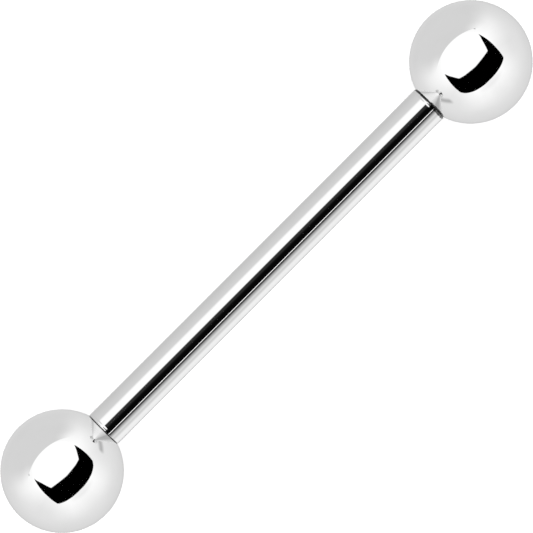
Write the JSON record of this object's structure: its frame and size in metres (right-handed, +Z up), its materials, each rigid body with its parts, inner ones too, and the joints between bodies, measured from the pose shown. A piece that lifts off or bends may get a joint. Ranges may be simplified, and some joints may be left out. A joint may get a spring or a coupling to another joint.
{
  "type": "tongue barbell",
  "caption": "Straight polished steel barbell for a tongue piercing, with a ball screwed onto each threaded end.",
  "frame": {"origin": "on the surface that the barbell lies on, midway between the centres of its two balls", "axes": "+X runs along the bar towards the right ball, +Z is up and +Y goes across the bar"},
  "size_m": [0.0284, 0.005, 0.005],
  "materials": {
    "bar_steel": "mirror polished surgical steel, with turned threads",
    "ball_steel": "mirror polished surgical steel, turned inside the hole"
  },
  "bodies": {
    "bar": {"bar": "bar_steel"},
    "left_ball": {"left_ball": "ball_steel"},
    "right_ball": {"right_ball": "ball_steel"}
  },
  "joints": [
    {"name": "right_ball_off", "type": "slide", "parent": "bar", "child": "right_ball", "axis": [1, 0, 0], "range_m": [0, 0.02]},
    {"name": "left_ball_off", "type": "slide", "parent": "bar", "child": "left_ball", "axis": [-1, 0, 0], "range_m": [0, 0.02]}
  ]
}
